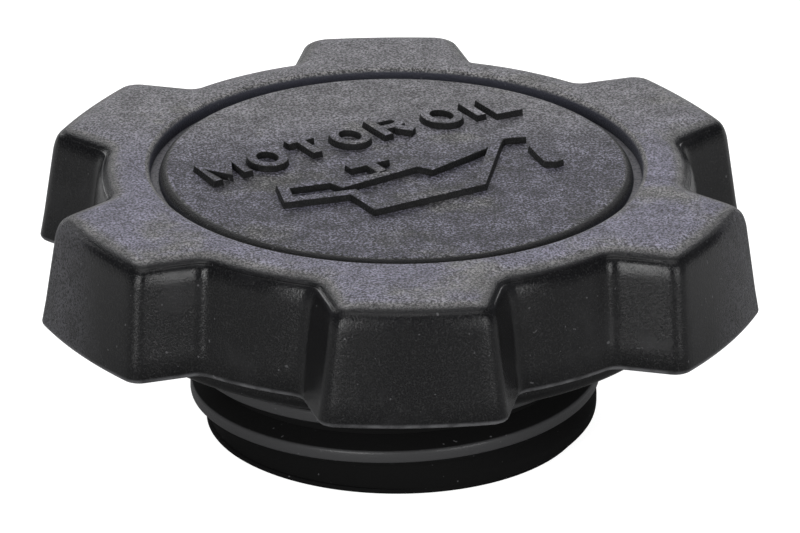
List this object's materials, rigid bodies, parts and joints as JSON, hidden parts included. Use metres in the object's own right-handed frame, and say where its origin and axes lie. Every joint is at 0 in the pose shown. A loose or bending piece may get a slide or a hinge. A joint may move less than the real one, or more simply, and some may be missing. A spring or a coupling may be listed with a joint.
{
  "type": "oil filler cap",
  "caption": "Screw-in engine oil filler cap: lobed black plastic handle, grooved marked top disc, hollow threaded plug and a rubber sealing ring under the top.",
  "frame": {"origin": "centre of the plug's end face, which is the lowest point of the part", "axes": "+Z along the screw axis, from the plug's end up to the marked top; -Y towards the lobe that faces the viewer, at the foot of the marking"},
  "size_m": [0.0614, 0.064, 0.0238],
  "materials": {
    "cap_body": "satin moulded, granular on the top face",
    "seal_ring": "matte"
  },
  "bodies": {
    "root": {"cap_body": "cap_body", "seal_ring": "seal_ring"}
  },
  "joints": []
}
